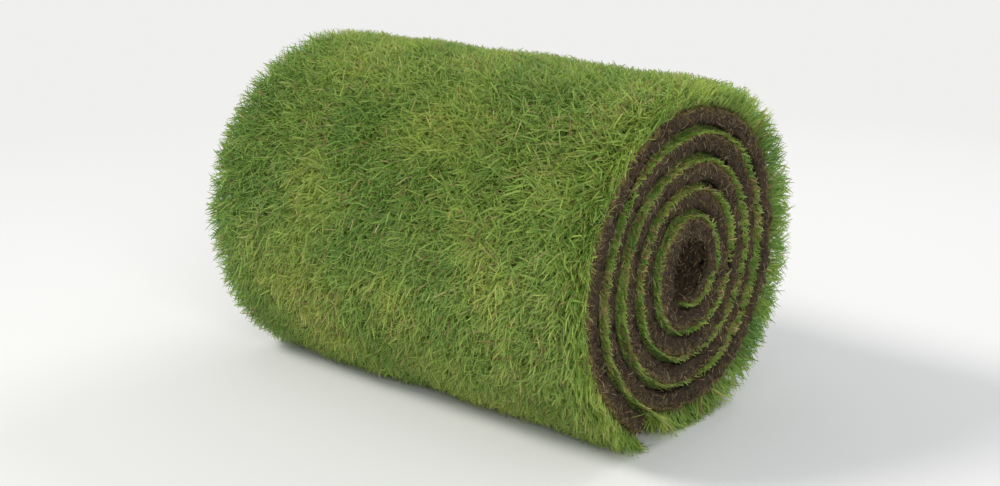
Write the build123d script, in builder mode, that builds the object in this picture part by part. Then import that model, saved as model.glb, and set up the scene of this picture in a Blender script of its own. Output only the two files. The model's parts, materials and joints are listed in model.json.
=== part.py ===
"""A roll of lawn turf, lying on its side with its bore along X.

The roll is one strip of soil, roots and grass, cut from the field and wound up with the grass
outside. On both ends the strip's soil mat shows as a spiral, which stands a little proud of the
grass that is pressed between its turns. On the last turn the grass stands free, and rounds off
at the strip's edges and at its loose end. The loose end is tucked under, so the roll rests on
it and on the turn below, as it does on the ground. The origin is on the ground, in the middle
of the roll's footprint.
"""

import os
from math import acos, atan2, ceil, cos, degrees, pi, radians, sin, sqrt

from build123d import *

# Driving dimensions, in millimetres
strip_length = 2500.0
strip_width = 400.0
mat_thickness = 15.0
pressed_grass = 7.0
free_grass = 17.0
bore_diameter = 45.0
grass_setback = 6.0
shoulder_radius = 10.0
loose_end_radius = 8.0
spring_back_length = 36.0

# The winding holds the strip's length, at one pitch a turn, round the bore.
pitch = mat_thickness + pressed_grass
bore_radius = bore_diameter / 2
wound_radius = sqrt(bore_radius**2 + strip_length * pitch / pi)
grass_width = strip_width - 2 * grass_setback

# Each quarter turn is struck from its own corner of a small square, so the spiral gains one pitch
# a turn. Quarters 0 to 3 are the last turn, up to the loose end, and lower ones lie further in.
# The wound radius, over pressed grass, is that of the middle of the last turn.
quarters_a_turn = 4
quarter_angle = 360 / quarters_a_turn
quarter_gain = pitch / quarters_a_turn
last_quarter = quarters_a_turn - 1
first_mat_radius = wound_radius - pressed_grass - quarter_gain * last_quarter / 2


def centre_of(quarter):
    """The corner of the small square that a quarter is struck from, in the winding's plane."""
    return towards((quarter + 1.5) * quarter_angle) * quarter_gain / sqrt(2)


def towards(angle):
    """A step of one millimetre at an angle, in the winding's plane."""
    return Vector(cos(radians(angle)), sin(radians(angle)))


def mat_radius(quarter):
    """The radius of the mat's grass side in a quarter."""
    return first_mat_radius + quarter * quarter_gain


def grass_radius(quarter):
    """The radius of the free grass in a quarter of the last turn."""
    return mat_radius(quarter) + free_grass


def resting_direction():
    """The angle that points down at rest, in degrees from the loose end.

    The ground then touches the free grass of quarter 0 and the rounded corner of the loose end.
    """
    reach = grass_radius(last_quarter) - loose_end_radius
    corner = centre_of(last_quarter) + Vector(
        sqrt(reach**2 - loose_end_radius**2), -loose_end_radius
    )
    apart = corner - centre_of(0)
    lean = acos((grass_radius(0) - loose_end_radius) / apart.length)
    return degrees(atan2(apart.Y, apart.X) + lean)


# The winding's plane has the loose end on its x axis, turned so that the roll lies at rest.
down = Vector(0, 0, -1)
winding = Plane(
    origin=(0, 0, 0),
    x_dir=down.rotate(Axis.X, -resting_direction()),
    z_dir=(1, 0, 0),
)


def section_plane(centre, angle):
    """A plane with its x along the roll, and its y outward from a centre at an angle."""
    outward = winding.x_dir.rotate(Axis.X, angle)
    return Plane(
        origin=winding.from_local_coords(centre),
        x_dir=winding.z_dir,
        z_dir=winding.z_dir.cross(outward),
    )


def turn_grass(centre, start, sweep, low, high):
    """Turns the free grass's section about a centre, from radius low to high."""
    plane = section_plane(centre, start)
    with BuildSketch(plane) as section:
        with Locations((0, (low + high) / 2)):
            Rectangle(grass_width, high - low)
        fillet(section.vertices().group_by(Axis.Y)[-1], radius=shoulder_radius)
    revolve(section.sketch, axis=Axis(plane.origin, winding.z_dir), revolution_arc=sweep)


def draw_sector(centre, start, sweep, low, high):
    """Draws a ring sector about a centre, from radius low to high, in the winding's plane."""
    first = towards(start)
    middle = towards(start + sweep / 2)
    last = towards(start + sweep)
    with BuildLine() as outline:
        Line(centre + first * low, centre + first * high)
        ThreePointArc(centre + first * high, centre + middle * high, centre + last * high)
        Line(centre + last * high, centre + last * low)
        if low:
            ThreePointArc(centre + last * low, centre + middle * low, centre + first * low)
    make_face(outline.edges())


# Past the loose end the next grass springs back, from pressed to free, along one rounder arc.
spring_back_angle = degrees(spring_back_length / grass_radius(0))
free_point = centre_of(0) + towards(spring_back_angle) * grass_radius(0)
pressed_point = centre_of(0) + Vector(mat_radius(0) + pressed_grass, 0)
across = free_point - pressed_point
spring_back_radius = across.length**2 / (2 * across.dot(towards(spring_back_angle)))
spring_back_centre = free_point - towards(spring_back_angle) * spring_back_radius
foot = pressed_point - spring_back_centre
spring_back_start = degrees(atan2(foot.Y, foot.X))

# The strip's first end is squashed against the bore, so its mat starts with about half of its
# thickness there.
innermost_quarter = ceil((bore_radius + mat_thickness / 2 - first_mat_radius) / quarter_gain)

with BuildPart() as turf_roll:
    # The free grass of the last quarter, rounded off at the strip's loose end too
    turn_grass(
        centre_of(last_quarter),
        last_quarter * quarter_angle,
        quarter_angle,
        mat_radius(last_quarter) - mat_thickness / 2,
        grass_radius(last_quarter),
    )
    end_plane = section_plane(centre_of(last_quarter), 0)
    end_face = turf_roll.faces().sort_by(Axis(end_plane.origin, end_plane.z_dir))[-1]
    outer_edges = end_face.edges().sort_by(Axis(end_plane.origin, end_plane.y_dir))[1:]
    fillet(outer_edges, radius=loose_end_radius)

    # The free grass of the rest of the last turn, from where it has sprung back
    turn_grass(
        spring_back_centre,
        spring_back_start,
        spring_back_angle - spring_back_start,
        spring_back_radius - mat_thickness,
        spring_back_radius,
    )
    turn_grass(
        centre_of(0),
        spring_back_angle,
        quarter_angle - spring_back_angle,
        mat_radius(0) - mat_thickness / 2,
        grass_radius(0),
    )
    for quarter in range(1, last_quarter):
        turn_grass(
            centre_of(quarter),
            quarter * quarter_angle,
            quarter_angle,
            mat_radius(quarter) - mat_thickness / 2,
            grass_radius(quarter),
        )

    # The wound turns inside the last one, set back from the mat's cut edges
    with BuildSketch(winding):
        for quarter in range(quarters_a_turn):
            draw_sector(
                centre_of(quarter),
                quarter * quarter_angle,
                quarter_angle,
                0,
                mat_radius(quarter) - mat_thickness / 2,
            )
        draw_sector(centre_of(0), 0, spring_back_angle, 0, mat_radius(0) + pressed_grass)
    extrude(amount=grass_width / 2, both=True)

    # The mat, whose cut edges show as a spiral on both ends
    with BuildSketch(winding):
        for quarter in range(innermost_quarter, quarters_a_turn):
            draw_sector(
                centre_of(quarter),
                quarter * quarter_angle,
                quarter_angle,
                max(mat_radius(quarter) - mat_thickness, bore_radius / 2),
                mat_radius(quarter),
            )
    extrude(amount=strip_width / 2, both=True)

    # The bore that the winding leaves
    with BuildSketch(winding):
        Circle(bore_radius)
    extrude(amount=strip_width / 2, both=True, mode=Mode.SUBTRACT)

# The roll is set down on the ground, with the middle of its footprint at the origin.
wound_box = turf_roll.part.bounding_box()
set_down = Location((0, -wound_box.center().Y, -wound_box.min.Z))
turf_roll.part.move(set_down)
turf_roll.part.label = "turf_roll"

os.makedirs("parts", exist_ok=True)
export_step(turf_roll.part, "parts/turf_roll.step")
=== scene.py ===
import json
from math import acos, atan2, ceil, cos, pi, radians, sin, sqrt

import bmesh
import bpy
import numpy as np
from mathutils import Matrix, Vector, noise


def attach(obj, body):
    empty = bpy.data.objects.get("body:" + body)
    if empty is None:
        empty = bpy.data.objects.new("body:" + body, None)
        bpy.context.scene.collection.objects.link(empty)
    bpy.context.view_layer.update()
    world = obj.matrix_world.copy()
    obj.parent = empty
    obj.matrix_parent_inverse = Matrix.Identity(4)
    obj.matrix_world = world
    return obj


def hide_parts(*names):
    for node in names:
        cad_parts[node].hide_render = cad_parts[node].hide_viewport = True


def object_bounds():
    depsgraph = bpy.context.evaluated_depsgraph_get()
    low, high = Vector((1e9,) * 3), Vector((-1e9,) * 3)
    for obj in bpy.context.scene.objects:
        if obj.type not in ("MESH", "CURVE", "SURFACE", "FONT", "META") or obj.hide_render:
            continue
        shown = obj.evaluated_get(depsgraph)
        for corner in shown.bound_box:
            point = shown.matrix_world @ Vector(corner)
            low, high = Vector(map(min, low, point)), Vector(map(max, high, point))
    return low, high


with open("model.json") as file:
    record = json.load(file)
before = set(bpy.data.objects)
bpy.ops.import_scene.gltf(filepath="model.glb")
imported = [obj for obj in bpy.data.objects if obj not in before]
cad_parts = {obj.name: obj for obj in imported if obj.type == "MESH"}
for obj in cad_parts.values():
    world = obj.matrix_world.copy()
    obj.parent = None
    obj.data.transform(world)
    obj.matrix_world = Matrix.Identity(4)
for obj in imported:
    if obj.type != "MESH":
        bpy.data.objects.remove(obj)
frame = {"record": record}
cad_low, cad_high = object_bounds()

# The strip that the roll is wound from, in metres and degrees, as in the part's source
strip_length = 2.5
mat_thickness = 0.015
pressed_grass = 0.007
free_grass = 0.017
loose_end_radius = 0.008
spring_back_length = 0.036
pitch = mat_thickness + pressed_grass
quarters_a_turn = 4
quarter_angle = 360 / quarters_a_turn
quarter_gain = pitch / quarters_a_turn
last_quarter = quarters_a_turn - 1

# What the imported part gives: the bore and the strip's width
bore = next(mount for mount in frame["record"]["mounts"] if mount["name"] == "bore")
bore_radius = bore["dims"]["r_mm"] / 1000
bore_y, bore_z = bore["pos_m"][1:]
half_width = (cad_high.x - cad_low.x) / 2

# The winding's angles run from the strip's first end, in the bore, to its loose end
wound_radius = sqrt(bore_radius**2 + strip_length * pitch / pi)
first_mat_radius = wound_radius - pressed_grass - quarter_gain * last_quarter / 2
first_quarter = ceil((bore_radius + mat_thickness / 2 - first_mat_radius) / quarter_gain)
first_angle = first_quarter * quarter_angle
loose_angle = quarters_a_turn * quarter_angle
spring_back_angle = np.degrees(spring_back_length / (first_mat_radius + free_grass))

# Angles as close as this count as one
nudge = 1e-6

# Wound by hand, the roll is a little lumpy
lump_height = 0.0030
lump_size = 0.085


# The winding: where a place on the strip lies in the roll


def centre_of(quarter):
    """The corner of the small square that a quarter is struck from, in the winding's plane."""
    turned = np.radians((quarter + 1.5) * quarter_angle)
    return np.stack([np.cos(turned), np.sin(turned)], -1) * quarter_gain / sqrt(2)


def resting_direction():
    """The angle that points down at rest, in radians from the loose end."""
    reach = first_mat_radius + last_quarter * quarter_gain + free_grass - loose_end_radius
    corner = centre_of(last_quarter) + [sqrt(reach**2 - loose_end_radius**2), -loose_end_radius]
    apart = corner - centre_of(0)
    lean = acos((first_mat_radius + free_grass - loose_end_radius) / np.hypot(*apart))
    return atan2(apart[1], apart[0]) + lean


loose_end_turned = -pi / 2 - resting_direction()


def direction(angle):
    """The outward direction at a winding angle, in the frame."""
    turned = np.radians(angle) + loose_end_turned
    return np.stack([np.zeros_like(turned), np.cos(turned), np.sin(turned)], -1)


def onward(angle):
    """The direction in which the strip runs on towards its loose end, in the frame."""
    return direction(angle + 90.0)


def quarter_at(angle):
    return np.clip(np.floor(angle / quarter_angle), first_quarter, last_quarter)


def radius_at(angle):
    """The radius of the mat's grass side, about its quarter's own centre."""
    return first_mat_radius + quarter_at(angle) * quarter_gain


def place(x, angle, height):
    """The point at x along the roll, at a winding angle, and a height over the mat's grass side.

    The lumps grow from nothing near the bore to their full height on the outside.
    """
    flat = centre_of(quarter_at(angle))
    across, up = cos(loose_end_turned), sin(loose_end_turned)
    point = direction(angle) * (radius_at(angle) + height)[..., None]
    point[..., 0] += x
    point[..., 1] += bore_y + flat[..., 0] * across - flat[..., 1] * up
    point[..., 2] += bore_z + flat[..., 0] * up + flat[..., 1] * across
    lump = lump_height * rough(point, lump_size, 2)
    lump *= smooth_step(radius_at(angle) + height, 2 * bore_radius, wound_radius)
    return point + direction(angle) * lump[..., None]


def angles_between(start, end, step):
    """Winding angles from start to end, about one step of length apart along the strip."""
    found = [start]
    while found[-1] < end - nudge:
        angle = found[-1] + np.degrees(step / radius_at(found[-1] + nudge))
        found.append(min(angle, end))
    return np.array(found)


def run_at(angles):
    """How far along the strip each angle is, from the first."""
    steps = np.radians(np.diff(angles)) * radius_at(angles[:-1] + nudge)
    return np.concatenate([[0.0], np.cumsum(steps)])


def smooth_step(values, low, high):
    share = np.clip((values - low) / (high - low), 0, 1)
    return share * share * (3 - 2 * share)


def rough(points, size, octaves=3, part=0.0):
    """Fractal noise at each point, with features of a size, from about -1 to 1.

    Another part of the noise is as rough, but has its bumps elsewhere.
    """
    fading, finer = 0.6, 2.1
    scaled = (np.asarray(points) + part) / size
    return np.array([noise.fractal(Vector(p), fading, finer, octaves) for p in scaled])


def crumbled(points, size, part=0.0):
    """A bed of rounded crumbs of a size at each point: 1 at their middles, 0 between them."""
    scaled = (np.asarray(points) + part) / size
    return np.array([1 - min(noise.voronoi(Vector(p))[0][0], 1.0) for p in scaled])


def noise_line(run, lane):
    """A point in the noise for each place along the strip, on a straight line of its own."""
    return np.stack([run, np.zeros_like(run) + lane, np.zeros_like(run)], -1)


# Meshes of the mat and of the ground that things grow on


def shell_quads(rings, columns, rows):
    """The quads round a block of points, and which of its points they use."""
    index = np.arange(rings * columns * rows).reshape(rings, columns, rows)
    sides = [index[:, :, 0], index[:, :, -1], index[:, 0], index[:, -1], index[0], index[-1]]
    quads = np.concatenate([grid_quads(side) for side in sides])
    used, quads = np.unique(quads, return_inverse=True)
    return quads.reshape(-1, 4), used


def grid_quads(index):
    """The quads between the neighbouring points of a grid."""
    corners = [index[:-1, :-1], index[1:, :-1], index[1:, 1:], index[:-1, 1:]]
    return np.stack(corners, -1).reshape(-1, 4)


def linked(name, data):
    """A new object in the scene."""
    made = bpy.data.objects.new(name, data)
    bpy.context.scene.collection.objects.link(made)
    return made


def mesh_object(name, points, quads):
    mesh = bpy.data.meshes.new(name)
    mesh.from_pydata(points.tolist(), [], quads.tolist())
    return linked(name, mesh)


def face_outwards(piece):
    """Turns the faces of a closed piece outwards, and shades it smooth."""
    shape = bmesh.new()
    shape.from_mesh(piece.data)
    bmesh.ops.recalc_face_normals(shape, faces=shape.faces)
    shape.to_mesh(piece.data)
    shape.free()
    for face in piece.data.polygons:
        face.use_smooth = True


def store(piece, name, values):
    """Keeps a number or a vector for each of a piece's points."""
    kind, field = ("FLOAT", "value") if values.ndim == 1 else ("FLOAT_VECTOR", "vector")
    attribute = piece.data.attributes.new(name, kind, "POINT")
    attribute.data.foreach_set(field, values.astype(np.float32).ravel())


# The cut edges: where they lie, how far the cut wanders, and how far a turn shifts sideways
edge_inset = 0.0010
wander_height, wander_size = 0.0016, 0.16
ripple_height, ripple_size = 0.0009, 0.035
shift_height, shift_size = 0.0030, 0.30
plus_lane, minus_lane, shift_lane = 1.7, 6.3, 3.9


def edge_at(run, side):
    """How far from the roll's middle the strip's cut edge lies on one side."""
    line = noise_line(run, np.where(side > 0, plus_lane, minus_lane))
    wander = wander_height * rough(line, wander_size, 1)
    wander += ripple_height * rough(line, ripple_size, 2)
    shift = rough(noise_line(run, shift_lane), shift_size, 1)
    wander += shift_height * np.sign(side) * shift
    return half_width - edge_inset + wander


# The mat's depth: what it gains on its first turn, and over which degrees of it the gain fades
first_turn_gain = 0.0075
gain_fades = (325, 358)
bore_clearance = 0.0008


def soil_depth(angle):
    """How thick the mat is: thicker on its first turn, and squashed against the bore there."""
    centre = centre_of(quarter_at(angle))
    turned = np.radians(angle)
    lean = (centre * np.stack([np.cos(turned), np.sin(turned)], -1)).sum(-1)
    to_bore = -lean + np.sqrt(lean**2 - (centre**2).sum(-1) + bore_radius**2)
    room = radius_at(angle) - to_bore - bore_clearance
    on_first_turn = 1 - smooth_step(angle - first_angle, *gain_fades)
    return np.minimum(room, mat_thickness + first_turn_gain * on_first_turn)


# The relief of the cut soil: how high or deep each form is, and how large
edge_lost = 0.0026
crumb_height, crumb_size = 0.0026, 0.0052
grit_height, grit_size = 0.0012, 0.0024
hollow_depth, hollow_size = 0.0026, 0.013
chunk_depth, chunk_size, chunk_rarity, chunk_most = 0.0060, 0.024, 0.22, 0.6
soil_side_wear, soil_side_worn = 0.0034, 0.22
grass_side_wear, grass_side_worn = 0.0008, 0.9
wear_size, usual_wear, wear_swing, wear_limits = 0.018, 0.85, 1.1, (0.1, 1.7)


def lost_soil(spot, share):
    """How much soil has come off a cut edge at a share of the way from soil side to grass side.

    Single crumbs and grit stand out, hollows and chunks are gone, and the edge's corners wear.
    """
    crumbs = crumb_height * crumbled(spot, crumb_size)
    crumbs += grit_height * crumbled(spot, grit_size, part=9)
    hollow = hollow_depth * rough(spot, hollow_size, part=5)
    chunk = rough(spot, chunk_size, 2, part=11) - chunk_rarity
    chunk = chunk_depth * np.clip(chunk, 0, chunk_most)
    worn = soil_side_wear * (1 - smooth_step(share, 0.0, soil_side_worn))
    worn += grass_side_wear * smooth_step(share, grass_side_worn, 1.0)
    wear = rough(spot * [1, 1, 0], wear_size, 2, part=21)
    worn *= np.clip(usual_wear + wear_swing * wear, *wear_limits)
    return edge_lost + worn + chunk - crumbs - hollow


# The mat's cross-section: rows of points through the soil, then over a shelf and up the grass
soil_rows = 11
shelf_depth = 0.0055
end_shelf_depth = 0.005
grass_rises = np.array([0.0, 0.45, 1.0])
grass_insets = np.array([-0.0015, 0.0, 0.0012])
grass_rows = len(grass_rises)

# A point's layer runs from 0 to 1 through the soil, and on by this much up through the grass
grass_layer = 0.5

# How thick the grass layer is between the turns, under the roll's own grass, and how uneven
wound_grass = pressed_grass - 0.0006
stubs_and_thatch = 0.0075
grass_relief, grass_relief_size = 0.0012, 0.012
inset_relief, inset_relief_size = 0.0022, 0.014
depth_relief, depth_relief_size = 0.0022, 0.05
sunk_crumbs, sunk_crumb_size = 0.0012, 0.005
sunk_relief, sunk_relief_size = 0.0008, 0.02

# Where roots and crumbs show: along the cut edges, and in the mouths of the bore
mouth_depth = 0.035
mouth_margin = 0.004
mouth_cover = 0.8
soil_side_cover, cover_gain = 0.5, 0.7
root_press = 0.35
root_hang = 0.8


def layered(spot, angle, row, share):
    """Each point's height over the mat's grass side, and how far in from the cut edge it is."""
    in_soil = row < soil_rows
    grass_row = np.maximum(row - soil_rows, 0)
    uneven = depth_relief * rough(spot, depth_relief_size)
    depth = soil_depth(angle) + uneven * (share < 1)
    grass = np.where(angle < 0, wound_grass, stubs_and_thatch)
    grass = grass + grass_relief * rough(spot, grass_relief_size, 2, part=3.1)
    height = np.where(in_soil, -depth * (1 - share), grass_rises[grass_row] * grass)
    inset = shelf_depth + grass_insets[grass_row]
    inset = inset + inset_relief * rough(spot, inset_relief_size, 2, part=7.7)
    return height, np.where(in_soil, 0.0, inset)


def store_growth(block, points, layer, cut):
    """Marks the mat's layers, and where and how roots and crumbs grow on it."""
    store(block, "layer", layer)
    from_axis = np.hypot(points[:, 1] - bore_y, points[:, 2] - bore_z)
    in_mouth = from_axis < bore_radius + mouth_margin
    in_mouth &= np.abs(points[:, 0]) > half_width - mouth_depth
    cover = cut * (soil_side_cover + cover_gain * layer)
    store(block, "cover", np.maximum(cover, mouth_cover * in_mouth))
    store(block, "press", np.full(len(points), root_press))
    store(block, "comb", np.tile([0.0, 0.0, -root_hang], (len(points), 1)))


def mat_block(name, angles, columns):
    """A stretch of the mat, with its cut edges, and the pressed grass on it set back from them."""
    size = (len(angles), len(columns), soil_rows + grass_rows)
    quads, used = shell_quads(*size)
    ring, column, row = np.unravel_index(used, size)
    run = run_at(angles) + np.interp(angles[0], all_angles, all_runs)
    angle, along, side = angles[ring], run[ring], columns[column]
    share = np.clip(row / (soil_rows - 1), 0, 1)
    spot = np.stack([along, side * half_width, share * mat_thickness], -1)
    height, inset = layered(spot, angle, row, share)

    in_soil = row < soil_rows
    at_side = in_soil & (np.abs(side) == 1)
    at_loose_end = angle >= loose_angle - nudge
    lost = lost_soil(spot, share)
    edge = edge_at(along, side) - inset
    x = side * edge - np.where(at_side, np.sign(side) * lost, 0)
    points = place(x, angle, height)
    end_inset = np.where(in_soil, lost, end_shelf_depth)
    points -= onward(angle) * np.where(at_loose_end, end_inset, 0)[:, None]
    sunk = sunk_crumbs * crumbled(spot, sunk_crumb_size, part=2)
    sunk += sunk_relief * rough(spot, sunk_relief_size)
    points += direction(angle) * np.where((row == 0) & ~at_side, sunk, 0)[:, None]

    block = mesh_object(name, points, quads)
    face_outwards(block)
    over_soil = 1 + grass_layer * (row - soil_rows + 1) / grass_rows
    layer = np.where(in_soil, share, over_soil).astype(np.float32)
    store_growth(block, points, layer, at_side | (at_loose_end & in_soil))
    return block


# The mat's rings lie this far apart along the strip. Its columns are shares of half its width: in
# from the edge at +X and, all but the last of them, in from the edge at -X. The last stretch has
# columns as close as its rings, and the long one runs on a few tenths of a degree past the seam.
ring_step = 0.0023
columns_in = np.array([0.0, 0.006, 0.014, 0.03, 0.055, 0.09, 0.14, 0.22, 0.38, 0.65])
last_stretch = 0.036
last_ring_step = 0.0026
last_columns = 161
seam_overlap = 0.5

all_angles = angles_between(first_angle, loose_angle, ring_step)
all_runs = run_at(all_angles)


def make_mat():
    """The strip's soil mat, in a long stretch and the last one, which is finer."""
    seam = loose_angle - np.degrees(last_stretch / radius_at(loose_angle - 1))
    long_angles = all_angles[all_angles < seam + seam_overlap]
    columns = np.concatenate([1 - columns_in, columns_in[-2::-1] - 1])
    long_stretch = mat_block("mat_wound", long_angles, columns)
    end_angles = angles_between(seam, loose_angle, last_ring_step)
    last = mat_block("mat_loose_end", end_angles, np.linspace(1, -1, last_columns))
    return long_stretch, last


# Node trees


class Tree:
    """A node tree under construction, with short ways to add a node and join it up."""

    def __init__(self, tree):
        self.tree = tree

    def add(self, kind, outputs=0, inputs=None, **settings):
        """Adds a node, sets it up and gives one of its outputs."""
        node = self.tree.nodes.new(kind)
        for name, value in settings.items():
            setattr(node, name, value)
        for socket, value in (inputs or {}).items():
            self.put(node.inputs[socket], value)
        return node.outputs[outputs]

    def put(self, socket, value):
        """Gives a socket its value: another node's output, or a plain one."""
        if isinstance(value, bpy.types.NodeSocket):
            self.tree.links.new(value, socket)
        else:
            socket.default_value = value

    def sum(self, operation, first, second=0.0, third=0.0):
        """A plain number from one to three others."""
        inputs = {0: first, 1: second, 2: third}
        return self.add("ShaderNodeMath", 0, inputs, operation=operation)

    def plus(self, first, second):
        return self.sum("ADD", first, second)

    def minus(self, first, second):
        return self.sum("SUBTRACT", first, second)

    def times(self, first, second):
        return self.sum("MULTIPLY", first, second)

    def vector(self, operation, first, second=(0.0, 0.0, 0.0)):
        return self.add("ShaderNodeVectorMath", 0, {0: first, 1: second}, operation=operation)

    def scaled(self, vector, factor):
        inputs = {0: vector, "Scale": factor}
        return self.add("ShaderNodeVectorMath", 0, inputs, operation="SCALE")

    def measured(self, operation, first, second=(0.0, 0.0, 0.0)):
        """A plain number from one or two vectors, such as their dot product."""
        inputs = {0: first, 1: second}
        return self.add("ShaderNodeVectorMath", "Value", inputs, operation=operation)

    def parts(self, vector):
        node = self.tree.nodes.new("ShaderNodeSeparateXYZ")
        self.put(node.inputs[0], vector)
        return node.outputs[0], node.outputs[1], node.outputs[2]

    def joined(self, x, y, z=0.0):
        return self.add("ShaderNodeCombineXYZ", 0, {0: x, 1: y, 2: z})

    def spread(self, value, low, high, to_low=0.0, to_high=1.0):
        """A value's place between low and high, kept within them."""
        inputs = {0: value, 1: low, 2: high, 3: to_low, 4: to_high}
        return self.add("ShaderNodeMapRange", 0, inputs)

    def drift(self, spot, scale, factor, detail=2.0):
        """A random vector that changes smoothly from place to place, up to about half a factor."""
        inputs = {"Vector": spot, "Scale": scale, "Detail": detail}
        colour = self.add("ShaderNodeTexNoise", "Color", inputs)
        return self.scaled(self.vector("SUBTRACT", colour, (0.5, 0.5, 0.5)), factor)


# The kinds of the inputs that aren't plain numbers
input_kinds = {"Geometry": "Geometry", "Segments": "Int", "Seed": "Int", "Material": "Material"}


class Growth(Tree):
    """A geometry node tree that grows things on a host, with named inputs for their sizes."""

    def __init__(self, name, own_inputs):
        super().__init__(bpy.data.node_groups.new(name, "GeometryNodeTree"))
        interface = self.tree.interface
        for label in ("Geometry", "Density", "Seed", "Floor", "Material", *own_inputs):
            kind = "NodeSocket" + input_kinds.get(label, "Float")
            interface.new_socket(label, in_out="INPUT", socket_type=kind)
        interface.new_socket("Geometry", in_out="OUTPUT", socket_type="NodeSocketGeometry")
        self.given = self.tree.nodes.new("NodeGroupInput").outputs
        self.here = self.add("GeometryNodeInputPosition")
        self.draws = 0

    def random(self, low, high, kind="FLOAT"):
        """A number or a vector for each point, from low to high."""
        self.draws += 1
        seed = self.plus(self.given["Seed"], self.draws)
        low_socket, high_socket, output = (2, 3, 1) if kind == "FLOAT" else (0, 1, 0)
        inputs = {low_socket: low, high_socket: high, 8: seed}
        return self.add("FunctionNodeRandomValue", output, inputs, data_type=kind)

    def random_vector(self):
        return self.random((-1.0,) * 3, (1.0,) * 3, "FLOAT_VECTOR")

    def kept(self, name, kind="FLOAT"):
        inputs = {"Name": name}
        return self.add("GeometryNodeInputNamedAttribute", 0, inputs, data_type=kind)

    def kept_vector(self, name):
        return self.kept(name, "FLOAT_VECTOR")

    def keep(self, geometry, name, value, kind="FLOAT", domain="POINT"):
        inputs = {"Geometry": geometry, "Name": name, "Value": value}
        node = "GeometryNodeStoreNamedAttribute"
        return self.add(node, 0, inputs, data_type=kind, domain=domain)

    def keep_vector(self, geometry, name, value):
        return self.keep(geometry, name, value, "FLOAT_VECTOR")

    def field(self, size, detail=2.0):
        """A random vector from about -1 to 1 that changes smoothly, with features of a size."""
        noise_gain = 4.0
        return self.drift(self.here, 1 / size, noise_gain, detail)

    def scatter(self):
        """Points on the host, as close as the density and the host's own cover say."""
        scatter = self.tree.nodes.new("GeometryNodeDistributePointsOnFaces")
        density = self.times(self.given["Density"], self.kept("cover"))
        self.put(scatter.inputs["Mesh"], self.given["Geometry"])
        self.put(scatter.inputs["Density"], density)
        self.put(scatter.inputs["Seed"], self.given["Seed"])
        return scatter.outputs["Points"], scatter.outputs["Normal"]

    def placed(self, points, shape, **placing):
        """The same shape on every point, as one mesh."""
        inputs = {"Points": points, "Instance": shape, **placing}
        copies = self.add("GeometryNodeInstanceOnPoints", 0, inputs)
        return self.add("GeometryNodeRealizeInstances", 0, {"Geometry": copies})

    def in_column(self, geometry, across, up):
        """Maps geometry to its tint's column: -0.5 to 0.5 across it, and 0 to 1 up it."""
        column = self.plus(self.kept("tint"), self.plus(across, 0.5))
        mapped = self.joined(self.sum("DIVIDE", column, tints), up)
        return self.keep(geometry, "OFBake", mapped, "FLOAT2", "CORNER")

    def moved(self, geometry, socket, value):
        """Geometry at another place, by its Position or its Offset."""
        return self.add("GeometryNodeSetPosition", 0, {"Geometry": geometry, socket: value})

    def finish(self, geometry, smooth):
        """Shades the geometry, gives it its material and ends the tree."""
        inputs = {"Geometry": geometry, "Shade Smooth": smooth}
        geometry = self.add("GeometryNodeSetShadeSmooth", 0, inputs)
        inputs = {"Geometry": geometry, "Material": self.given["Material"]}
        result = self.tree.nodes.new("NodeGroupOutput").inputs[0]
        self.put(result, self.add("GeometryNodeSetMaterial", 0, inputs))
        return self.tree


# Colours go by number: each strand or crumb has a tint, and the last tints are for withered ones
tints = 48
withered_tints = 8
first_withered = tints - withered_tints
top_tint = tints - 0.01

# Tip is what a strand's width gains up to its tip, as a share of it: below 0 it narrows
strand_inputs = (
    "Segments", "Length", "Height", "Width", "Tip", "Lean", "Lean Spread", "Curl", "Clumping",
    "Wildness", "Twist", "Withered", "Side",
)

# How strands differ: sizes in metres, angles in radians, and the rest as shares
clump_size = 0.011
pressed_lean = (1.30, 1.52)
least_lean = 0.03
curl_shares = (0.3, 1.5)
least_curl = 0.04
press_straightens = 0.85
least_climb = 0.2
tallest, shortening, shortening_power = 1.06, 0.45, 1.7
width_shares = (0.65, 1.3)
tint_patch_size, tint_patch_share = 0.07, 0.38
tint_tuft_size, tint_tuft_share = 0.012, 0.16
tint_chance = 0.26
withered_patch_size = 0.045
withered_patch_values, withered_patch_shares = (-0.2, 1.1), (0.45, 2.6)
taper_power = 3.0
side_give = 0.6

# Where a strand lies in its column of the map
strand_map_width, strand_map_length, strand_map_foot = 0.7, 0.94, 0.03


def combed_points(tree):
    """Points for the strands, each with its own way to lean over: combed, clumped and stray."""
    points, normal = tree.scatter()
    points = tree.keep_vector(points, "root", tree.here)
    points = tree.keep_vector(points, "up", normal)
    up = tree.kept_vector("up")
    clump = tree.scaled(tree.field(clump_size), tree.given["Clumping"])
    stray = tree.scaled(tree.random_vector(), tree.given["Wildness"])
    wanted = tree.vector("ADD", tree.kept_vector("comb"), tree.vector("ADD", clump, stray))
    upward = tree.scaled(up, tree.measured("DOT_PRODUCT", wanted, up))
    ahead = tree.vector("NORMALIZE", tree.vector("SUBTRACT", wanted, upward))
    return tree.keep_vector(points, "ahead", ahead)


def bent_points(tree, points):
    """Gives each strand its lean at the root and its curl up to the tip, less where pressed."""
    given = tree.given
    press = tree.kept("press")
    half_spread = tree.times(given["Lean Spread"], 0.5)
    lean = tree.times(half_spread, tree.random(-1.0, 1.0))
    lean = tree.plus(given["Lean"], lean)
    lean_inputs = {0: press, 2: lean, 3: tree.random(*pressed_lean)}
    lean = tree.add("ShaderNodeMix", 0, lean_inputs, data_type="FLOAT")
    points = tree.keep(points, "lean", tree.sum("MAXIMUM", lean, least_lean))
    curl = tree.times(given["Curl"], tree.random(*curl_shares))
    free = tree.minus(1.0, tree.times(press, press_straightens))
    curl = tree.plus(tree.times(curl, free), least_curl)
    return tree.keep(points, "curl", curl)


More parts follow.
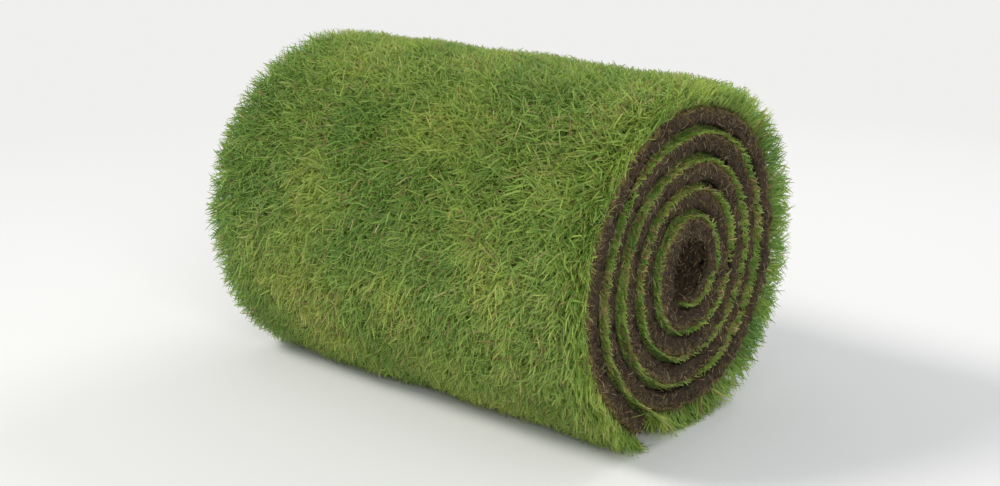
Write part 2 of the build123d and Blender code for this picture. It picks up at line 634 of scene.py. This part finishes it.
def sized_points(tree, points):
    """Gives each strand a length, cut off at the mown height, and a width and a twist."""
    given = tree.given
    lean, curl = tree.kept("lean"), tree.kept("curl")
    tip = tree.sum("SINE", tree.plus(lean, curl))
    climb = tree.sum("DIVIDE", tree.minus(tip, tree.sum("SINE", lean)), curl)
    mown = tree.sum("DIVIDE", given["Height"], tree.sum("MAXIMUM", climb, least_climb))
    length = tree.sum("MINIMUM", mown, given["Length"])
    short = tree.sum("POWER", tree.random(0.0, 1.0), shortening_power)
    share = tree.minus(tallest, tree.times(short, shortening))
    points = tree.keep(points, "reach", tree.times(length, share))
    width = tree.times(given["Width"], tree.random(*width_shares))
    points = tree.keep(points, "breadth", width)
    twist = tree.times(given["Twist"], tree.random(-1.0, 1.0))
    return tree.keep(points, "twist", twist)


def tinted_points(tree, points):
    """Gives each strand its tint, by patch, tuft and chance, or a withered one."""
    patch = tree.parts(tree.field(tint_patch_size, 3.0))[0]
    tuft = tree.parts(tree.field(tint_tuft_size, 1.0))[1]
    tint = tree.times(patch, tint_patch_share)
    tint = tree.plus(tint, tree.times(tuft, tint_tuft_share))
    tint = tree.plus(tree.plus(tint, 0.5), tree.random(-tint_chance, tint_chance))
    tint = tree.times(tree.spread(tint, 0.0, 1.0), first_withered - 1)
    thin = tree.parts(tree.field(withered_patch_size, 2.0))[2]
    thin = tree.spread(thin, *withered_patch_values, *withered_patch_shares)
    withered = tree.times(tree.given["Withered"], thin)
    is_dry = tree.sum("LESS_THAN", tree.random(0.0, 1.0), withered)
    dry = tree.random(first_withered, top_tint)
    tint = tree.add("ShaderNodeMix", 0, {0: is_dry, 2: tint, 3: dry}, data_type="FLOAT")
    return tree.keep(points, "tint", tree.sum("FLOOR", tint))


def flat_strip(tree):
    """One flat strand, a metre long and wide about its middle, with its root drawn to a point."""
    just_over_root = -0.499
    merge_distance = 0.01
    rows = tree.plus(tree.given["Segments"], 1.0)
    sizes = {"Size X": 1.0, "Size Y": 1.0, "Vertices X": 2, "Vertices Y": rows}
    strip = tree.add("GeometryNodeMeshGrid", "Mesh", sizes)
    x, y, z = tree.parts(tree.here)
    is_wide = tree.sum("GREATER_THAN", y, just_over_root)
    pinched = tree.joined(tree.times(x, is_wide), y, z)
    inputs = {"Geometry": tree.moved(strip, "Position", pinched), "Distance": merge_distance}
    return tree.add("GeometryNodeMergeByDistance", 0, inputs)


def bent_place(tree, across, along):
    """Where a point across and along a flat strand comes to lie once it is bent and twisted."""
    lean, curl = tree.kept("lean"), tree.kept("curl")
    ahead, up = tree.kept_vector("ahead"), tree.kept_vector("up")
    bent = tree.plus(lean, tree.times(curl, along))
    rise = tree.minus(tree.sum("SINE", bent), tree.sum("SINE", lean))
    rise = tree.sum("DIVIDE", rise, curl)
    drift = tree.minus(tree.sum("COSINE", lean), tree.sum("COSINE", bent))
    drift = tree.sum("DIVIDE", drift, curl)
    spine = tree.vector("ADD", tree.scaled(up, rise), tree.scaled(ahead, drift))
    spine = tree.scaled(spine, tree.kept("reach"))
    facing = tree.scaled(ahead, tree.sum("COSINE", bent))
    facing = tree.vector("SUBTRACT", facing, tree.scaled(up, tree.sum("SINE", bent)))
    beside = tree.vector("CROSS_PRODUCT", ahead, up)
    twist = tree.kept("twist")
    beside = tree.scaled(beside, tree.sum("COSINE", twist))
    edgeways = tree.vector("ADD", beside, tree.scaled(facing, tree.sum("SINE", twist)))
    near_tip = tree.sum("POWER", along, taper_power)
    taper = tree.sum("MULTIPLY_ADD", near_tip, tree.given["Tip"], 1.0)
    breadth = tree.times(tree.kept("breadth"), taper)
    sideways = tree.scaled(edgeways, tree.times(across, breadth))
    return tree.vector("ADD", tree.vector("ADD", tree.kept_vector("root"), spine), sideways)


def held_back(tree, place_socket):
    """A place kept above the floor, and drawn in where it is past the side's limit."""
    x, y, z = tree.parts(place_socket)
    past = tree.minus(tree.sum("ABSOLUTE", x), tree.given["Side"])
    past = tree.times(tree.sum("MAXIMUM", past, 0.0), side_give)
    drawn_in = tree.minus(x, tree.times(past, tree.sum("SIGN", x)))
    return tree.joined(drawn_in, y, tree.sum("MAXIMUM", z, tree.given["Floor"]))


def strand_tree():
    """Grows flat curved strands on a host: blades, straws or roots.

    The host's points hold comb, the way the strands lean, cover, how many there are, and press,
    how flat they lie. The map has a column for each tint, and runs up it from root to tip.
    """
    tree = Growth("strands", strand_inputs)
    points = combed_points(tree)
    points = bent_points(tree, points)
    points = sized_points(tree, points)
    points = tinted_points(tree, points)
    strands = tree.placed(points, flat_strip(tree))

    offset = tree.vector("SUBTRACT", tree.here, tree.kept_vector("root"))
    across, along, _ = tree.parts(offset)
    along = tree.plus(along, 0.5)
    up = tree.plus(tree.times(along, strand_map_length), strand_map_foot)
    strands = tree.in_column(strands, tree.times(across, strand_map_width), up)
    bent = held_back(tree, bent_place(tree, across, along))
    return tree.finish(tree.moved(strands, "Position", bent), True)


# How crumbs differ: most are small, and each is turned, stretched and dented in its own way
smallest_crumb, smallness = 0.28, 2.2
crumb_stretch = 0.25
crumb_turn = 3.14
dent_size, dent_factor = 0.0022, 0.0018

# How wide and high a crumb is in its column of the map, and how its depth slants it there
crumb_map_size = (0.28, 0.30)
crumb_map_slant = (0.12, -0.14)


def crumb_tree():
    """Scatters uneven crumbs of soil over a host, half sunk into it."""
    tree = Growth("crumbs", ["Size"])
    points, _ = tree.scatter()
    ball = tree.add("GeometryNodeMeshIcoSphere", "Mesh", {"Radius": 1.0, "Subdivisions": 1})
    ball = tree.keep_vector(ball, "shape", tree.here)
    tint = tree.sum("FLOOR", tree.random(0.0, top_tint))
    points = tree.keep(points, "tint", tint)
    small = tree.sum("POWER", tree.random(0.0, 1.0), smallness)
    size = tree.spread(small, 0.0, 1.0, smallest_crumb, 1.0)
    size = tree.times(tree.given["Size"], size)
    stretched = tree.scaled(tree.random_vector(), crumb_stretch)
    stretched = tree.vector("ADD", stretched, (1.0, 1.0, 1.0))
    turned = tree.scaled(tree.random_vector(), crumb_turn)
    crumbs = tree.placed(points, ball, Rotation=turned, Scale=tree.scaled(stretched, size))

    across, along, deep = tree.parts(tree.kept_vector("shape"))
    across = tree.plus(tree.times(across, crumb_map_size[0]), tree.times(deep, crumb_map_slant[0]))
    along = tree.plus(tree.times(along, crumb_map_size[1]), tree.times(deep, crumb_map_slant[1]))
    crumbs = tree.in_column(crumbs, across, tree.plus(along, 0.5))
    dent = tree.drift(tree.here, 1 / dent_size, dent_factor, 1.0)
    crumbs = tree.moved(crumbs, "Offset", dent)
    x, y, z = tree.parts(tree.here)
    lifted = tree.joined(x, y, tree.sum("MAXIMUM", z, tree.given["Floor"]))
    return tree.finish(tree.moved(crumbs, "Position", lifted), False)


# What a tree notes on the points that it grows from, and what their ground tells it
growth_attributes = "root up ahead lean curl reach breadth twist tint shape layer".split()
ground_attributes = "comb cover press".split()


def strip_attributes(mesh, names):
    for name in names:
        if name in mesh.attributes:
            mesh.attributes.remove(mesh.attributes[name])


def grown(name, host, tree, **sizes):
    """What a tree grows on a host, as a plain mesh object of its own."""
    modifier = host.modifiers.new(name, "NODES")
    modifier.node_group = tree
    named = {item.name.replace(" ", "_").lower(): item for item in tree.interface.items_tree}
    for label, value in sizes.items():
        modifier[named[label].identifier] = value
    evaluated = host.evaluated_get(bpy.context.evaluated_depsgraph_get())
    mesh = bpy.data.meshes.new_from_object(evaluated)
    host.modifiers.remove(modifier)
    strip_attributes(mesh, growth_attributes + ground_attributes)
    mesh.name = name
    return linked(name, mesh)


# The ground that grass grows on

gravity = np.array([0.0, 0.0, -1.0])


def ground_sheet(name, angles, xs, height):
    """A sheet over part of the strip, with angles along it and xs across it, facing outwards."""
    index = np.arange(len(angles) * len(xs)).reshape(len(angles), len(xs))
    ring, column = np.divmod(index.ravel(), len(xs))
    points = place(xs[column], angles[ring], np.full(index.size, height))
    quads = grid_quads(index)
    sheet = mesh_object(name, points, quads)
    normals = np.zeros(len(quads) * 3)
    sheet.data.polygons.foreach_get("normal", normals)
    if (normals.reshape(-1, 3) * direction(angles[ring[quads[:, 0]]])).sum() < 0:
        sheet.data.flip_normals()
    return sheet, xs[column], angles[ring]


# The lawn's ground: where it lies and how finely it is divided
ground_inset = 0.0015
ground_height = 0.0015
ground_step = 0.010
ground_columns = 41
ground_gap = 0.4

# How its grass lies: it hangs, trails towards the loose end, and flares over the edges and the end
hang, trail, flare, overhang = 0.30, 0.15, 0.7, 1.2
flare_width = 0.020
overhang_angle = 8
edge_press, crease_press = 0.15, 0.95
crease_angle = 1.25 * spring_back_angle

# How thick it stands, with thinner and thicker patches
usual_cover, cover_swing, cover_limits = 1.02, 0.45, (0.5, 1.4)
patch_size = 0.05
last_turn_length = 0.85


def lawn_ground(quarter):
    """The ground of a quarter of the last turn, whose grass stands free."""
    start = quarter * quarter_angle + ground_gap * (quarter == 0)
    end = (quarter + 1) * quarter_angle - ground_gap * (quarter == last_quarter)
    edge_x = half_width - ground_inset
    xs = np.linspace(edge_x, -edge_x, ground_columns)
    angles = angles_between(start, end, ground_step)
    ground, x, angle = ground_sheet("lawn_ground", angles, xs, ground_height)
    at_edge = smooth_step(np.abs(x), half_width - flare_width, half_width)
    at_end = smooth_step(angle, loose_angle - overhang_angle, loose_angle)
    comb = hang * gravity + trail * onward(angle)
    comb = comb + np.outer(np.sign(x) * at_edge * flare, [1.0, 0.0, 0.0])
    comb = comb + onward(angle) * at_end[:, None] * overhang
    store(ground, "comb", comb)
    crease = 1 - smooth_step(angle, 0.0, crease_angle)
    store(ground, "press", np.maximum(crease * crease_press, edge_press * at_edge))
    spot = np.stack([x, angle / 360 * last_turn_length, np.zeros_like(x)], -1)
    cover = usual_cover + cover_swing * rough(spot, patch_size, 2)
    store(ground, "cover", np.clip(cover, *cover_limits))
    return ground


# The ground beside the wound turns' cut edges, and how the pressed grass bulges out of them
fringe_ground = (0.0025, 0.013)
fringe_columns = 4
fringe_step = 0.006
fringe_height = 0.0006
fringe_start, fringe_end = first_angle + 4, -1.0
bulge_size = 0.035
gap_size = 0.022
fringe_outward, outward_swing = 0.8, 0.5
fringe_hang, fringe_trail = 0.2, 0.2
fringe_press, press_swing, press_limits = 0.78, 0.45, (0.35, 0.97)
gap_swing, gap_limits = 1.1, (0.15, 2.0)


def edge_ground(side):
    """The ground beside one cut edge of the wound turns, whose grass is pressed flat."""
    angles = angles_between(fringe_start, fringe_end, fringe_step)
    out, inward = (half_width - inset for inset in fringe_ground)
    xs = side * np.linspace(inward, out, fringe_columns)
    ground, x, angle = ground_sheet("edge_ground", angles, xs, fringe_height)
    spot = noise_line(np.radians(angle) * radius_at(angle), side)
    bulge = rough(spot, bulge_size, 2)
    outward = np.outer(side * (fringe_outward + outward_swing * bulge), [1.0, 0.0, 0.0])
    store(ground, "comb", outward + fringe_hang * gravity + fringe_trail * onward(angle))
    store(ground, "press", np.clip(fringe_press - press_swing * bulge, *press_limits))
    cover = 1.0 + gap_swing * rough(spot, gap_size, 2, part=4.4)
    store(ground, "cover", np.clip(cover, *gap_limits))
    return ground


# Materials


class Finish(Tree):
    """A material's node tree."""

    def __init__(self, name):
        self.material = bpy.data.materials.new(name)
        self.material.use_nodes = True
        super().__init__(self.material.node_tree)
        self.surface = self.tree.nodes["Principled BSDF"]
        self.output = self.tree.nodes["Material Output"]

    def ramp(self, value, colours):
        """A colour from a list of (place, colour) by a value from 0 to 1."""
        node = self.tree.nodes.new("ShaderNodeValToRGB")
        points = node.color_ramp.elements
        while len(points) < len(colours):
            points.new(1.0)
        for point, (at, colour) in zip(points, colours):
            point.position = at
            point.color = colour
        self.put(node.inputs[0], value)
        return node.outputs[0]

    def shades(self, value, *stops):
        """A ramp of colours as they show on screen: each stop is a place, red, green and blue."""
        return self.ramp(value, [(at, linear(*shade)) for at, *shade in stops])

    def mixed(self, factor, first, second, blend="MIX"):
        inputs = {0: factor, 6: first, 7: second}
        return self.add("ShaderNodeMix", 2, inputs, data_type="RGBA", blend_type=blend)

    def noise(self, vector, size, detail=4.0, roughness=0.55):
        inputs = {"Vector": vector, "Scale": 1 / size, "Detail": detail, "Roughness": roughness}
        return self.add("ShaderNodeTexNoise", 0, inputs)

    def cell_edges(self, spot, cells):
        """How far a spot is from the edge of its cell, with about so many cells to a metre."""
        inputs = {"Vector": spot, "Scale": cells}
        return self.add("ShaderNodeTexVoronoi", "Distance", inputs, feature="DISTANCE_TO_EDGE")

    def mapped(self):
        """The places across and up the map, and the number of the tint's column there."""
        u, v, _ = self.parts(self.add("ShaderNodeUVMap", 0, uv_map="OFBake"))
        return u, v, self.sum("FLOOR", self.times(u, tints))

    def chance(self, number):
        """A random number from 0 to 1 for each whole number."""
        return self.add("ShaderNodeTexWhiteNoise", 0, {"W": number}, noise_dimensions="1D")

    def coat(self, colour, roughness, gloss):
        self.put(self.surface.inputs["Base Color"], colour)
        self.put(self.surface.inputs["Roughness"], roughness)
        self.put(self.surface.inputs["Specular IOR Level"], gloss)

    def finish(self, colour, roughness, gloss, height, strength, depth):
        """Coats the surface, and gives it bumps from a height, up to a depth in metres."""
        self.coat(colour, roughness, gloss)
        bump = {"Height": height, "Strength": strength, "Distance": depth}
        self.put(self.surface.inputs["Normal"], self.add("ShaderNodeBump", 0, bump))
        return self.material

    def blend_in(self, factor, shader):
        """Mixes another shader into the surface."""
        inputs = {0: factor, 1: self.surface.outputs[0], 2: shader}
        shown = self.add("ShaderNodeMixShader", 0, inputs)
        self.put(self.output.inputs["Surface"], shown)


def linear(red, green, blue):
    """A colour picked as it shows on screen, from 0 to 255, as light."""
    shares = np.array([red, green, blue]) / 255
    light = np.where(shares <= 0.04045, shares / 12.92, ((shares + 0.055) / 1.055) ** 2.4)
    return (*light.tolist(), 1.0)


# A blade's forms: the light that shines through it, and the veins and ribs along it
light_through = 0.42
veins_across_map = 900.0
vein_strength = 0.35
ribs_a_blade = 5


def blade_finish():
    """Living grass: each blade takes its tint from its column of the map, and fades along it."""
    look = Finish("grass_blade")
    u, v, column = look.mapped()
    green_end = (first_withered - 1) / (tints - 1)
    dry_start = first_withered / (tints - 1)
    colour = look.shades(
        look.sum("DIVIDE", column, tints - 1),
        (0.0, 98, 142, 64),
        (0.28 * green_end, 132, 171, 77),
        (0.58 * green_end, 165, 193, 92),
        (0.85 * green_end, 192, 208, 103),
        (green_end, 210, 212, 116),
        (dry_start, 190, 172, 112),
        (0.5 + 0.5 * dry_start, 204, 186, 132),
        (1.0, 150, 112, 70),
    )
    shade = look.spread(look.chance(column), 0.0, 1.0, 0.73, 1.27)
    colour = look.scaled(colour, shade)
    pale_root = look.spread(v, 0.02, 0.30, 0.55, 0.0)
    colour = look.mixed(pale_root, colour, linear(150, 152, 86))
    cut_tip = look.spread(v, 0.90, 0.97, 0.0, 0.55)
    colour = look.mixed(cut_tip, colour, linear(176, 168, 104))
    vein_spot = look.joined(look.times(u, veins_across_map), v)
    veins = look.noise(vein_spot, 1.0, 2.0)
    vein_shade = look.ramp(veins, [(0.3, (0.55, 0.55, 0.55, 1.0)), (0.7, (1.0, 1.0, 1.0, 1.0))])
    colour = look.mixed(vein_strength, colour, vein_shade, "MULTIPLY")
    roughness = look.spread(veins, 0.3, 0.7, 0.40, 0.55)
    ribs = look.sum("SINE", look.times(u, 2 * pi * ribs_a_blade * tints))
    ribs = look.sum("MULTIPLY_ADD", ribs, 0.5, veins)
    material = look.finish(colour, roughness, gloss=0.45, height=ribs, strength=0.35, depth=0.0002)
    through = look.add("ShaderNodeBsdfTranslucent", 0, {"Color": colour})
    look.blend_in(light_through, through)
    return material


# The soil's forms: sizes and drifts in metres, cells and drift scales to a metre
grain_size = 0.0028
soil_lump_size = 0.012
uneven_size, uneven_height = 0.009, 0.55
clods, clod_drift_scale, clod_drift = 105.0, 130.0, 0.010
# Of the cracks: the size of the patches where they open, how deep they bump, and how strongly
# shade is painted into them
crack_patch_size, crack_depth, crack_painted_shade = 0.018, 1.2, 0.75
fibre_cells, fibre_drift_scale, fibre_drift, fibre_strength = 380.0, 420.0, 0.006, 0.5


def soil_cracks(look, spot):
    """1 in the cracks between clods, which are open in some patches only."""
    drifted = look.vector("ADD", spot, look.drift(spot, clod_drift_scale, clod_drift))
    narrow = look.spread(look.cell_edges(drifted, clods), 0.02, 0.10, 1.0, 0.0)
    open_here = look.spread(look.noise(spot, crack_patch_size, 1.0), 0.42, 0.60)
    return look.times(narrow, open_here)


def soil_fibres(look, spot, layer):
    """How much of the soil is matted root fibre at a spot: more towards the grass."""
    drifted = look.vector("ADD", spot, look.drift(spot, fibre_drift_scale, fibre_drift))
    fibres = look.spread(look.cell_edges(drifted, fibre_cells), 0.02, 0.07, 1.0, 0.0)
    fibres = look.times(fibres, fibre_strength)
    return look.times(fibres, look.spread(layer, 0.25, 0.85, 0.15, 1.0))


def soil_finish():
    """Moist soil, matted with roots towards the grass, with thatch and grass stubs over it."""
    look = Finish("cut_soil")
    spot = look.add("ShaderNodeTexCoord", "Object")
    layer = look.add("ShaderNodeAttribute", "Fac", attribute_name="layer")
    uneven = look.noise(spot, uneven_size)
    uneven = look.sum("MULTIPLY_ADD", uneven, uneven_height, -uneven_height / 2)
    layer = look.plus(layer, uneven)
    grains = look.noise(spot, grain_size, 5.0, 0.65)
    colour = look.shades(
        grains, (0.30, 22, 17, 11), (0.50, 50, 39, 25), (0.66, 78, 62, 40), (0.80, 122, 103, 72)
    )
    lumps = look.spread(look.noise(spot, soil_lump_size, 3.0), 0.35, 0.65, 0.0, 0.6)
    colour = look.mixed(lumps, colour, linear(36, 28, 18))
    cracks = soil_cracks(look, spot)
    # Painted shade: the cracks between clods are darkened towards near black, like the shade
    # inside them
    colour = look.mixed(look.times(cracks, crack_painted_shade), colour, linear(16, 12, 8))
    colour = look.mixed(soil_fibres(look, spot, layer), colour, linear(138, 117, 78))
    thatch = look.shades(grains, (0.30, 62, 52, 28), (0.52, 104, 90, 48), (0.75, 144, 132, 78))
    colour = look.mixed(look.spread(layer, 0.80, 1.0), colour, thatch)
    stubs = look.shades(grains, (0.30, 34, 42, 14), (0.55, 72, 88, 28), (0.75, 112, 118, 48))
    colour = look.mixed(look.spread(layer, 1.08, 1.25), colour, stubs)
    roughness = look.spread(grains, 0.3, 0.7, 0.78, 0.95)
    rugged = look.sum("MULTIPLY_ADD", cracks, -crack_depth, grains)
    return look.finish(colour, roughness, gloss=0.3, height=rugged, strength=0.9, depth=0.0012)


def crumb_finish():
    """Loose crumbs of the same soil."""
    look = Finish("soil_crumb")
    u, v, _ = look.mapped()
    spot = look.joined(look.times(u, 6.0 * tints), look.times(v, 6.0))
    grains = look.noise(spot, 1.6, 4.0, 0.6)
    colour = look.shades(grains, (0.30, 30, 23, 14), (0.52, 62, 48, 30), (0.70, 92, 75, 48))
    return look.finish(colour, 0.9, gloss=0.3, height=grains, strength=0.6, depth=0.0006)


def root_finish():
    """Fine pale roots, browner at their tips."""
    look = Finish("root_thread")
    u, v, column = look.mapped()
    chance = look.chance(column)
    colour = look.shades(chance, (0.0, 96, 76, 46), (0.5, 152, 130, 88), (1.0, 200, 184, 144))
    colour = look.mixed(look.spread(v, 0.3, 1.0, 0.0, 0.6), colour, linear(90, 70, 44))
    spot = look.joined(look.times(u, 4.0 * tints), look.times(v, 14.0))
    knots = look.noise(spot, 1.3, 3.0)
    darker = look.spread(knots, 0.35, 0.65, 0.45, 0.0)
    colour = look.mixed(darker, colour, linear(66, 50, 30))
    roughness = look.spread(knots, 0.3, 0.7, 0.65, 0.85)
    return look.finish(colour, roughness, gloss=0.5, height=knots, strength=0.5, depth=0.0002)


grass = blade_finish()
soil = soil_finish()
crumb = crumb_finish()
thread = root_finish()
strands = strand_tree()
crumbs = crumb_tree()

# The pieces

# The lowest that anything grown comes, just over the ground
floor_clearance = 0.0004

# The lawn's broad blades, and the finer ones among them
blade_kinds = {
    "grass_quarter": dict(density=155000.0, segments=3, width=0.00155, height=0.0205),
    "fine_grass_quarter": dict(density=350000.0, segments=2, width=0.00112, height=0.0195),
}
habit = dict(clumping=0.60, wildness=0.95, twist=0.9, floor=floor_clearance, material=grass)
lawn_habit = habit | dict(
    length=0.032, tip=-0.68, lean=0.30, lean_spread=0.66, curl=0.95, withered=0.055,
    side=half_width + 0.002,
)
fringe_habit = habit | dict(
    length=0.0125, tip=-0.6, lean=0.9, lean_spread=0.7, curl=0.9, withered=0.25,
    side=half_width, density=400000.0, segments=3, width=0.0013, height=0.0065,
)
root_habit = habit | dict(
    length=0.0085, tip=-0.7, lean=0.8, lean_spread=1.0, curl=2.2, withered=0.5,
    side=half_width + 0.001, density=95000.0, segments=4, width=0.00028, height=0.02,
    wildness=1.1, twist=1.0, seed=51, material=thread,
)
crumb_habit = dict(
    density=34000.0, size=0.0021, floor=floor_clearance, seed=71, material=crumb
)
lawn_seed = 11
fringe_seed = 31


def finished(piece):
    """Every piece rides on the roll's one body, and stands for its solid."""
    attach(piece, "root")
    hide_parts("turf_roll")


def grow_lawn(quarter):
    """The free grass on a quarter of the last turn."""
    ground = lawn_ground(quarter)
    for stem, kind in blade_kinds.items():
        name = f"{stem}_{quarter + 1}"
        seed = lawn_seed + quarter + 100 * kind["segments"]
        lawn = grown(name, ground, strands, seed=seed, **kind, **lawn_habit)
        finished(lawn)
    bpy.data.objects.remove(ground)


def grow_fringe(label, side):
    """The pressed grass that comes out between the turns on one end of the roll."""
    ground = edge_ground(side)
    name = f"grass_fringe_{label}_x"
    fringe = grown(name, ground, strands, seed=fringe_seed + side, **fringe_habit)
    bpy.data.objects.remove(ground)
    finished(fringe)


def finish_mat(block):
    """Grows roots and crumbs on a stretch of the mat, and gives it its soil."""
    stem = block.name.replace("mat_", "")
    finished(grown(f"roots_{stem}", block, strands, **root_habit))
    finished(grown(f"crumbs_{stem}", block, crumbs, **crumb_habit))
    strip_attributes(block.data, ground_attributes)
    block.data.materials.append(soil)
    finished(block)


for quarter in range(quarters_a_turn):
    grow_lawn(quarter)
grow_fringe("plus", 1)
grow_fringe("minus", -1)
for block in make_mat():
    finish_mat(block)

# The stage

pale_shade = (0.87, 0.87, 0.86, 1.0)
floor_shade = (0.76, 0.76, 0.75, 1.0)
sky_shade = (0.93, 0.96, 1.0, 1.0)
sky_strength = 0.52

# How far the floor reaches from its middle, and where it fades into the background
floor_reach = 6.0
fade_start, fade_end = 0.45, 1.2


def seen_directly(tree):
    """1 for what the camera sees, also by a reflection or through something clear."""
    path = tree.tree.nodes.new("ShaderNodeLightPath")
    seen = tree.sum("MAXIMUM", path.outputs["Is Camera Ray"], path.outputs["Is Glossy Ray"])
    return tree.sum("MAXIMUM", seen, path.outputs["Is Transmission Ray"])


def make_floor():
    """A plain pale floor, which fades into the background further out."""
    corners = np.array([(-1, -1, 0), (1, -1, 0), (1, 1, 0), (-1, 1, 0)]) * floor_reach
    floor = mesh_object("floor", corners, np.array([(0, 1, 2, 3)]))
    look = Finish("pale_floor")
    look.coat(floor_shade, roughness=0.9, gloss=0.1)
    away = look.measured("LENGTH", look.add("ShaderNodeTexCoord", "Object"))
    far = look.spread(away, fade_start, fade_end)
    far = look.times(far, seen_directly(look))
    pale = look.add("ShaderNodeEmission", 0, {"Color": pale_shade, "Strength": 1.0})
    look.blend_in(far, pale)
    floor.data.materials.append(look.material)


def make_world():
    """A soft sky as fill light, and for the camera a background as pale as the far floor."""
    world = bpy.data.worlds.new("studio")
    bpy.context.scene.world = world
    world.use_nodes = True
    world.node_tree.nodes.clear()
    tree = Tree(world.node_tree)
    sky = tree.add("ShaderNodeBackground", 0, {"Color": sky_shade, "Strength": sky_strength})
    pale = tree.add("ShaderNodeBackground", 0, {"Color": pale_shade, "Strength": 1.0})
    shown = tree.add("ShaderNodeMixShader", 0, {0: seen_directly(tree), 1: sky, 2: pale})
    output = world.node_tree.nodes.new("ShaderNodeOutputWorld")
    tree.put(output.inputs["Surface"], shown)


def make_lamp(name, at, size, watts, colour=(1.0, 1.0, 1.0)):
    """A round soft lamp, aimed at the middle of the roll."""
    lamp = bpy.data.lights.new(name, "AREA")
    lamp.shape = "DISK"
    lamp.size = size
    lamp.energy = watts
    lamp.color = colour
    holder = linked(name, lamp)
    holder.location = at
    aim = Vector((0.0, 0.0, 0.14)) - Vector(at)
    holder.rotation_euler = aim.to_track_quat("-Z", "Y").to_euler()


def make_camera():
    """Looks down on the roll as steeply as the photograph looks down on the near lawn."""
    azimuth, elevation = radians(40), radians(17)
    middle = Vector((0.004, 0.0, 0.118))
    away = 1.34
    back = Vector((sin(azimuth) * cos(elevation), -cos(azimuth) * cos(elevation), sin(elevation)))
    camera = bpy.data.cameras.new("camera")
    camera.lens = 55
    holder = linked("camera", camera)
    holder.location = middle + back * away
    holder.rotation_euler = (-back).to_track_quat("-Z", "Y").to_euler()
    bpy.context.scene.camera = holder


make_floor()
make_world()
make_lamp("key", (-2.5, -2.2, 3.3), size=1.4, watts=138, colour=(1.0, 0.97, 0.92))
make_lamp("side", (2.0, -1.3, 1.0), size=1.2, watts=28)
make_lamp("rim", (0.2, 2.0, 1.6), size=1.0, watts=21)
make_camera()
bpy.context.scene.view_settings.view_transform = "Standard"
